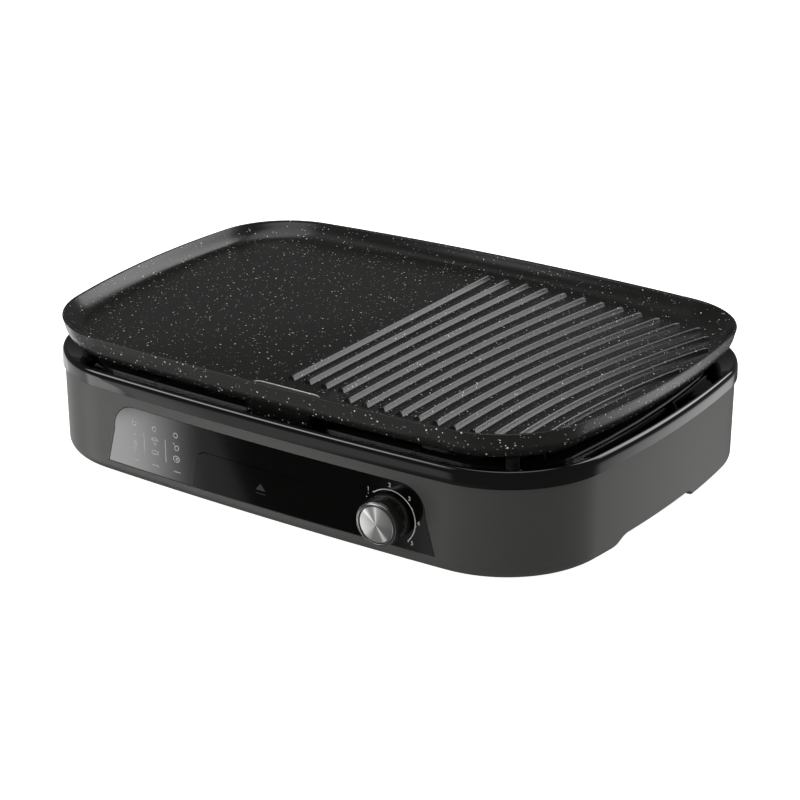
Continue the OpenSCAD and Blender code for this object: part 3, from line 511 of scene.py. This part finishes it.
print_white = moulded("print_white", (0.5, 0.5, 0.48), 0.5, mottle=0.1, grain=3000)
DIAL_X, DIAL_Z, DIAL_R, TICK = 114.6, 35.3, 21.2, 0.9
scale = [ellipse(DIAL_X, DIAL_Z, DIAL_R, DIAL_R, 0, 130, -45, 60)]
for a in (130, 30, -5, -45):
    scale.append([(DIAL_X + r * cos(radians(a)), DIAL_Z + r * sin(radians(a)))
                  for r in (DIAL_R, DIAL_R + TICK)])
scale += [[(96.2, 49.6), (96.5, 49.9)], [(94.8, 46.6), (95.1, 46.9)]]
numbers = [("1", 96.4, 53.2, 4.6), ("2", 114.4, 60.2, 4.6), ("3", 130.9, 53.5, 4.6), ("4", 138.4, 36.1, 4.6),
           ("5", 133.2, 19.2, 4.6)]
ink("dial_print", "housing", print_white, scale, 0.75, numbers)

print_dark = moulded("print_dark", (0.0042, 0.0042, 0.004), 0.5, mottle=0.15, grain=3000)
mark = [[(x, 27.6 + k * 0.5) for x in (-4.4 + k * 0.42, 4.4 - k * 0.42)] for k in range(10)]
ink("drawer_print", "drawer", print_dark, mark + [[(-4.6, 24.6), (4.6, 24.6)]], 0.55)

# ---------------------------------------------------------------- Drip tray
# A plastic tray that slides out to the front on two moulded rails. Its gloss front is
# the same fascia material and follows the same bow, with a fine gap to the panel.
bm = bowed_sheet(*DRAWER_FRONT, FACE_IN, 2.2, EASE)
settle("tray_front", bm, bezel_gloss, "drawer", "drip_tray_front", GLOSS_SHARP)
dress(moulded("tray_plastic", (0.013, 0.013, 0.012), 0.4, grain=1800, bump=0.12), "drip_tray")
rail_plastic = moulded("rail_plastic", (0.02, 0.02, 0.019), 0.5, grain=1800, bump=0.12)
dress(rail_plastic, "tray_rail_left", "tray_rail_right")

# ---------------------------------------------------------------- Thermostat and wiring
# A capillary thermostat on a folded bracket behind the panel, its sensor clipped under
# the plate, and stranded mains wire to a terminal block. All of it is bought in.
sheet_steel = moulded("sheet_steel", (0.42, 0.42, 0.41), 0.34, 1.0, 0.08, 300)
dress(sheet_steel, "thermostat_bracket", "sensor_clip", "heat_shield", "element_support_left",
      "element_support_right")
ceramic = moulded("ceramic", (0.6, 0.56, 0.47), 0.7, 0.0, 0.06, 500, 0.15)
dress(ceramic, "thermostat_body", "terminal_live", "terminal_neutral")
dress(moulded("brass", (0.55, 0.42, 0.18), 0.3, 1.0, 0.06, 400), "thermostat_nut")
dress(moulded("copper", (0.6, 0.3, 0.16), 0.35, 1.0, 0.12, 300), "sensor_bulb")
dress(moulded("shaft_steel", (0.45, 0.45, 0.44), 0.28, 1.0, 0.06, 900), "thermostat_shaft")
dress(moulded("block_plastic", (0.7, 0.67, 0.6), 0.5, mottle=0.04, grain=1200, bump=0.1), "terminal_block")
dress(moulded("wire_red", (0.4, 0.045, 0.025), 0.45, mottle=0.08, grain=800), "wiring_loom")
dress(screw_steel, "thermal_fuse", "bracket_screws")

# ---------------------------------------------------------------- Knob
# A black moulded cup on the thermostat's shaft. A polished ring edges its face. Its metal is
# dimmed in colour as a painted dark reflection, and a bead in a brighter copy of the same metal
# is a painted highlight along its edge. A disc of spun aluminium sits in the middle, with light
# and dark wedges painted into its colour as a painted reflection.
KNOB_L = 17.4
FRONT_Y = -BODY[1] + FACE_IN - KNOB_L
BACK_Y = -BODY[1] + FACE_IN + 0.6


def turned(profile, closed=True):
    """Turns a profile of (radius, y) about the knob's axis."""
    bm = bmesh.new()
    verts = [bm.verts.new(place(KNOB[0] + r, y, KNOB[1])) for r, y in profile]
    pairs = list(zip(verts, verts[1:])) + ([(verts[-1], verts[0])] if closed else [])
    edges = [bm.edges.new(pair) for pair in pairs]
    centre = place(KNOB[0], 0, KNOB[1])
    bmesh.ops.spin(bm, geom=verts + edges, cent=centre, axis=(0, 1, 0), angle=2 * pi, steps=96, use_merge=True)
    bmesh.ops.remove_doubles(bm, verts=bm.verts, dist=2e-6)
    return bm


knob_plastic = moulded("knob_plastic", (0.0065, 0.0065, 0.006), 0.24, mottle=0.1, grain=2200, bump=0.06)
cup = [(0, FRONT_Y + 2.2), (14, FRONT_Y + 2.2), (14, FRONT_Y + 1.6), (16.5, FRONT_Y + 1.6)]
cup += [(16.9, FRONT_Y + 1.8), (17.35, FRONT_Y + 2.5), (17.5, FRONT_Y + 3.4), (17.97, BACK_Y - 0.3)]
cup += [(17.8, BACK_Y), (16, BACK_Y), (15.8, FRONT_Y + 6), (5.5, FRONT_Y + 6)]
cup += [(5.5, BACK_Y + 0.2), (3, BACK_Y + 0.2), (3, FRONT_Y + 4), (0, FRONT_Y + 4)]
settle("knob_cup", turned(cup, False), knob_plastic, "knob", "knob", SHARP)

# Painted shade: the ring's polished metal is given a dimmed colour that stands for the dark surroundings it
# reflects.
chrome_trim = moulded("chrome_trim", (0.16, 0.16, 0.157), 0.2, 1.0, 0.03, 400)
rim = [(14.2, FRONT_Y + 1.6), (14.2, FRONT_Y + 0.6), (14.35, FRONT_Y + 0.15), (14.7, FRONT_Y)]
rim += [(15.3, FRONT_Y + 0.1), (16.2, FRONT_Y + 0.55), (16.6, FRONT_Y + 0.95), (16.7, FRONT_Y + 1.6)]
settle("knob_rim", turned(rim), chrome_trim, "knob", "knob_ring", 50)
# Painted highlight: the bead is a brighter copy of the ring's metal, so a thin light line shows along the
# ring's edge.
painted_highlight_edge = moulded("painted_highlight_edge", (0.36, 0.36, 0.355), 0.22, 1.0, 0.03, 400)
BEAD_R = 0.26
bead = [(16.62 + BEAD_R * cos(a), FRONT_Y + 1.15 + BEAD_R * sin(a)) for a in (0, 1.05, 2.1, 3.14, 4.19, 5.24)]
settle("knob_bead", turned(bead), painted_highlight_edge, "knob", "knob_ring", 80)

# The disc's colour carries a painted reflection: light and dark wedges set by the turn about the knob's axis,
# fixed to the disc.
spun = moulded("spun_aluminium", (0.95, 0.95, 0.94), 0.36, 1.0, 0.05, 900)
spun_nodes, spun_links = spun.node_tree.nodes, spun.node_tree.links
spun_shader = spun_nodes["Principled BSDF"]
hub = spun_nodes.new("ShaderNodeMapping")
hub.inputs["Location"].default_value = (-KNOB[0] * MM, 0, -KNOB[1] * MM)
spun_links.new(spun_nodes["Texture Coordinate"].outputs["Object"], hub.inputs["Vector"])
parts = spun_nodes.new("ShaderNodeSeparateXYZ")
spun_links.new(hub.outputs["Vector"], parts.inputs[0])
sweep = spun_nodes.new("ShaderNodeMath")
sweep.operation = "ARCTAN2"
spun_links.new(parts.outputs["Z"], sweep.inputs[0])
spun_links.new(parts.outputs["X"], sweep.inputs[1])
turn_share = spun_nodes.new("ShaderNodeMapRange")
turn_share.inputs["From Min"].default_value = -pi
turn_share.inputs["From Max"].default_value = pi
spun_links.new(sweep.outputs["Value"], turn_share.inputs["Value"])
painted_wedge_ramp = spun_nodes.new("ShaderNodeValToRGB")
# Painted highlights: a tone at each turn about the axis, in degrees. The bright and dark wedges stand for the
# reflections of a spun disc.
PAINTED_REFLECTION_WEDGES = [(-180, 0.45), (-137, 0.5), (-104, 0.2), (-68, 0.26), (-53, 0.95), (-38, 0.22), (-15, 0.2),
          (20, 0.28), (60, 0.32), (82, 0.5), (92, 0.9), (104, 0.3), (118, 0.24), (128, 0.45),
          (137, 0.85), (150, 0.4), (180, 0.45)]
for k, (a, tone) in enumerate(PAINTED_REFLECTION_WEDGES):
    stop = painted_wedge_ramp.color_ramp.elements[k] if k < 2 else painted_wedge_ramp.color_ramp.elements.new(1)
    stop.position = (a + 180) / 360
    stop.color = (tone, tone, tone * 0.99, 1)
spun_links.new(turn_share.outputs["Result"], painted_wedge_ramp.inputs["Fac"])
# The painted wedges are multiplied into the disc's mottled colour.
grain = spun_nodes.new("ShaderNodeMix")
grain.data_type = "RGBA"
grain.blend_type = "MULTIPLY"
grain.inputs["Factor"].default_value = 1
spun_links.new(painted_wedge_ramp.outputs["Color"], grain.inputs["A"])
spun_links.new(spun_shader.inputs["Base Color"].links[0].from_socket, grain.inputs["B"])
spun_links.new(grain.outputs["Result"], spun_shader.inputs["Base Color"])
disc = [(0, FRONT_Y + 0.62), (13.2, FRONT_Y + 0.6), (13.75, FRONT_Y + 0.7), (14, FRONT_Y + 1.0)]
disc += [(14, FRONT_Y + 2.2), (0, FRONT_Y + 2.2)]
settle("knob_disc", turned(disc, False), spun, "knob", "knob_cap", 30)

# ---------------------------------------------------------------- Reflector and element
# Under the plate lies a pressed steel dish in black enamel, screwed to the ring's ledge.
# The tubular element stands on two notched steel strips in it.
enamel = moulded("enamel_black", (0.012, 0.012, 0.0115), 0.22, mottle=0.1, grain=500, bump=0.05)
dress(enamel, "heat_reflector")
dress(moulded("element_steel", (0.1, 0.095, 0.09), 0.45, 1.0, 0.2, 120), "heating_element")
dress(screw_steel, "reflector_screws")

# ---------------------------------------------------------------- Ring
# A gloss ring tops the housing, moulded with an eased crown. Inside, it slopes down to the
# ledge that carries the reflector, with a port for the drain and four seats for the pads.
LEDGE_Z = SEAM_Z + 4.3
RING_TOP = SEAM_Z + 13.2
DRAIN = (8.0, -187.0)
PORT_HALF = (34, 10)
PAD_IN, PAD_R, BOSS_R = 18.5, 5.6, 6.6


def smooth_curve(points, steps):
    """A curve that passes through the points, with steps between each pair."""
    out = []
    for i in range(len(points) - 1):
        p0, p1, p2 = points[max(i - 1, 0)], points[i], points[i + 1]
        p3 = points[min(i + 2, len(points) - 1)]
        for k in range(steps):
            t = k / steps
            out.append(tuple(
                0.5 * (2 * b + (c - a) * t + (2 * a - 5 * b + 4 * c - d) * t * t
                       + (3 * b - a - 3 * c + d) * t ** 3)
                for a, b, c, d in zip(p0, p1, p2, p3)))
    return out + [points[-1]]


def post(x, y, r, z0, z1):
    return prism(bmesh.new(), level(circle(x, y, r), z0), (0, 0, z1 - z0))


crown = [(0, SEAM_Z + 0.25), (0.2, RING_TOP - 5.5), (0.8, RING_TOP - 2.2), (1.7, RING_TOP - 0.7),
         (2.8, RING_TOP), (3.9, RING_TOP - 0.1), (5, RING_TOP - 0.8), (20, LEDGE_Z + 1.2), (24, LEDGE_Z)]
section = [(0.25, SEAM_Z)] + smooth_curve(crown, 3)
section += [(31, LEDGE_Z), (31, LEDGE_Z - WALL), (21, LEDGE_Z - WALL), (4.1, LEDGE_Z + 3)]
section += [(WALL, LEDGE_Z + 2), (WALL, SEAM_Z)]
bm = loft(bmesh.new(), [level(outline(BODY, i), z) for i, z in section], closed=True)
ring = settle("gloss_ring", bm, bezel_gloss, "housing", "top_bezel", SHARP)
port = [(DRAIN[0] + sx * PORT_HALF[0], DRAIN[1] + sy * PORT_HALF[1], LEDGE_Z - 20)
        for sx, sy in ((-1, -1), (1, -1), (1, 1), (-1, 1))]
cut(ring, prism(bmesh.new(), port, (0, 0, 60)), SHARP)

# Half width, front, back, front radius, back radius, side bow, front bow, back bow
RIM = (250.0, 209.3, 141.3, 85.0, 70.0, 695.0, 4236.0, 1984.0)
for side in (-1, 1):
    for b, r, l, sy in ((RIM[1], RIM[3], RIM[6], -1), (RIM[2], RIM[4], RIM[7], 1)):
        c = corner_centre(RIM[0], b, r, RIM[5], l)
        a = (atan2(c.y, c.x - RIM[0] + RIM[5]) + atan2(c.y - b + l, c.x)) / 2
        x, y = side * (c.x + (r - PAD_IN) * cos(a)), sy * (c.y + (r - PAD_IN) * sin(a))
        cut(ring, post(x, y, PAD_R, LEDGE_Z + 4, LEDGE_Z + 30), SHARP)
        seat = post(x, y, BOSS_R, LEDGE_Z - 1, LEDGE_Z + 4)
        top = [e for e in seat.edges if min(v.co.z for v in e.verts) > (LEDGE_Z + 3.9) * MM]
        bmesh.ops.bevel(seat, geom=top, offset=0.4 * MM, segments=2, profile=0.5, affect="EDGES", material=-1)
        settle("pad_seat", seat, bezel_gloss, "housing", "top_bezel", SHARP)
dress(rubber, "pad_front_left", "pad_front_right", "pad_back_left", "pad_back_right")

# ---------------------------------------------------------------- Grill plate
# One aluminium casting with a flecked non-stick coating. A skirt turns under at the rim,
# and a wall falls to the sunken floor, whose outline bows more than the rim's. A drain
# slot with a bare lip opens in a spout at the front, and bars underneath lie on the element.
TOP = 115.0
FLOOR_Z = TOP - 12.7
SKIRT_Z = TOP - 23.5
FLOOR = (238.3, 194.8, 126.8, 62.0, 62.0, 647.0, 1032.0, 1032.0)
# Cells in a metre, fleck radius as a share of a cell, share of cells with a fleck, tone
FLECKS = [(380, 0.2, 0.13, 0.4), (220, 0.14, 0.2, 0.6), (560, 0.24, 0.12, 0.2)]


def flecked(name):
    """The coating: near black, finely rough, with pale flecks of three sizes."""
    mat = moulded(name, (0.0085, 0.0085, 0.0078), 0.26, mottle=0.25, grain=700, bump=0.25)
    nodes, links = mat.node_tree.nodes, mat.node_tree.links
    shader = nodes["Principled BSDF"]
    shader.inputs["Specular IOR Level"].default_value = 0.34
    coords = nodes["Texture Coordinate"]
    base = shader.inputs["Base Color"].links[0].from_socket
    for cells, size, share, tone in FLECKS:
        spots = nodes.new("ShaderNodeTexVoronoi")
        spots.inputs["Scale"].default_value = cells
        links.new(coords.outputs["Object"], spots.inputs["Vector"])
        near = nodes.new("ShaderNodeMath")
        near.operation = "LESS_THAN"
        near.inputs[1].default_value = size
        links.new(spots.outputs["Distance"], near.inputs[0])
        split = nodes.new("ShaderNodeSeparateColor")
        links.new(spots.outputs["Color"], split.inputs["Color"])
        rare = nodes.new("ShaderNodeMath")
        rare.operation = "LESS_THAN"
        rare.inputs[1].default_value = share
        links.new(split.outputs["Red"], rare.inputs[0])
        both = nodes.new("ShaderNodeMath")
        both.operation = "MULTIPLY"
        links.new(near.outputs["Value"], both.inputs[0])
        links.new(rare.outputs["Value"], both.inputs[1])
        mix = nodes.new("ShaderNodeMix")
        mix.data_type = "RGBA"
        mix.inputs["B"].default_value = (tone, tone, tone * 0.95, 1)
        links.new(both.outputs["Value"], mix.inputs["Factor"])
        links.new(base, mix.inputs["A"])
        base = mix.outputs["Result"]
    links.new(base, shader.inputs["Base Color"])
    return mat


def between(p, q, t):
    return [(a[0] * (1 - t) + b[0] * t, a[1] * (1 - t) + b[1] * t) for a, b in zip(p, q)]


def stadium(x, y, length, width, steps=14):
    half, r = (length - width) / 2, width / 2
    turns = [pi * (k / steps - 0.5) for k in range(steps + 1)]
    right = [(half + r * cos(a), r * sin(a)) for a in turns]
    return [(x + u, y + v) for u, v in right + [(-u, -v) for u, v in right]]


plate_coating = flecked("plate_coating")
skirt = [(17, SKIRT_Z), (12.5, SKIRT_Z + 1.3), (8.4, SKIRT_Z + 4.2), (5, SKIRT_Z + 8.4)]
skirt += [(2.4, SKIRT_Z + 13.4), (0.9, TOP - 4.5), (0.12, TOP - 1.4), (0, TOP - 0.8), (0.15, TOP - 0.3)]
brim = [(0.15, TOP - 0.3), (0.5, TOP - 0.06), (1.1, TOP), (1.7, TOP - 0.06), (2.2, TOP - 0.35)]
brim += [(2.6, TOP - 1)]
fall = [(0, TOP - 1), (0.14, TOP - 3.4), (0.32, TOP - 6.6), (0.52, TOP - 9.4), (0.75, TOP - 11.6)]
fall += [(0.93, TOP - 12.55), (1.0, FLOOR_Z)]
rings = [level(outline(RIM, 21), FLOOR_Z - 4.3), level(outline(RIM, 20), SKIRT_Z)]
rings += [level(outline(RIM, i), z) for i, z in smooth_curve(skirt, 3)[:-1] + smooth_curve(brim, 2)[:-1]]
rings += [level(between(outline(RIM, 2.6), outline(FLOOR), t), z) for t, z in smooth_curve(fall, 3)]
rings += [level(outline(FLOOR, 1.2), FLOOR_Z)]
casting = loft(bmesh.new(), rings)
plate = settle("plate_pan", casting, plate_coating, "plate", "grill_plate", 50)
SLOT_L, SLOT_W = 60, 12


def slot_rings(growth_and_depth):
    """The slot's outline, grown by a distance, at each depth below the floor."""
    return [level(stadium(*DRAIN, SLOT_L + g, SLOT_W + g), FLOOR_Z - d) for g, d in growth_and_depth]


mouth = slot_rings([(0, 20), (0, 1), (1, 0.3), (2.4, 0), (2.4, -2)])
cut(plate, loft(bmesh.new(), mouth), 50)
spout = slot_rings([(0, 3), (4, 3), (4, 39.9), (3.4, 40.3), (0.6, 40.3), (0, 39.9)])
duct = loft(bmesh.new(), spout, closed=True)
settle("plate_spout", duct, plate_coating, "plate", "grill_plate", SHARP)
lip = loft(bmesh.new(), slot_rings([(0.4, 0.9), (2.2, -0.12), (3.4, -0.12), (3.4, 0.9)]), closed=True)
bare_edge = moulded("bare_edge", (0.72, 0.72, 0.7), 0.45, 1.0, 0.05, 900)
settle("plate_lip", lip, bare_edge, "plate", "grill_plate", 30)
BAR = {"l": 280, "w": 8, "pitch": 62, "y": -34}
for k in range(4):
    y = BAR["y"] + (k - 1.5) * BAR["pitch"]
    bar = [level(stadium(0, y, BAR["l"] - d, BAR["w"] - d), FLOOR_Z - z)
           for d, z in ((0, 4), (0, 6.9), (0.8, 7.3))]
    settle("plate_bar", loft(bmesh.new(), bar), plate_coating, "plate", "grill_plate", SHARP)

# ---------------------------------------------------------------- Ribs
# Fifteen cast ribs over the right half. The first is straight, and each next one curves
# outwards on a tighter arc. They taper to a narrow top, step down at both ends, and stop
# short of the pan's wall.
RIBS, PITCH, LAST_BOW, STRAIGHT_Y, RIB_H = 15, 15.05, 696.0, -165.0, 4.0
RIB_GAP, BACK_GAP, RAMP = 5.5, 14, 1.7
SHORT_RIBS, SHORT_START, LONG_START = 4, -164.0, -177.0
BACK_FROM, BACK_END = 95, 112
floor_points = outline(FLOOR)


def clear_of_wall(x, y):
    """How far a point lies inside the floor's outline."""
    best, inside = 1e9, False
    for (ax, ay), (bx, by) in zip(floor_points, floor_points[1:] + floor_points[:1]):
        dx, dy = bx - ax, by - ay
        t = max(0, min(1, ((x - ax) * dx + (y - ay) * dy) / (dx * dx + dy * dy)))
        best = min(best, hypot(x - ax - t * dx, y - ay - t * dy))
        if (ay > y) != (by > y) and x < ax + dx * (y - ay) / dy:
            inside = not inside
    return best if inside else -best


def course(k, y):
    """A rib's middle and its heading where it crosses a line along X."""
    if k == 0:
        return 0.0, 0.0
    bow = LAST_BOW * (RIBS - 1) / k
    heading = asin((y - STRAIGHT_Y) / bow)
    return k * PITCH + bow * (1 - cos(heading)), heading


half_section = [(3.4, -0.4), (3.2, 0.1), (2.75, 0.6), (1.95, 2.6), (1.55, 3.4), (1.15, 3.85), (0.6, RIB_H)]
section = [(-u, w) for u, w in half_section] + [(u, w) for u, w in reversed(half_section)]
bm = bmesh.new()
for k in range(RIBS):
    start = SHORT_START if k < SHORT_RIBS else LONG_START
    stop = start + 40
    while clear_of_wall(course(k, start)[0], start) < RIB_GAP:
        start += 1
    while stop < BACK_END:
        gap = BACK_GAP if stop > BACK_FROM else RIB_GAP
        if clear_of_wall(course(k, stop + 1)[0], stop + 1) <= gap:
            break
        stop += 1
    stations = [start - RAMP] + [start + (stop - start) * i / 72 for i in range(73)] + [stop + RAMP]
    rings = []
    for y in stations:
        x, heading = course(k, y)
        top = RIB_H - 1.1 if y in (stations[0], stations[-1]) else RIB_H
        rings.append([(x + u * cos(heading), y - u * sin(heading), FLOOR_Z + min(w, top)) for u, w in section])
    loft(bm, rings)
settle("plate_ribs", bm, plate_coating, "plate", "grill_plate", SHARP)
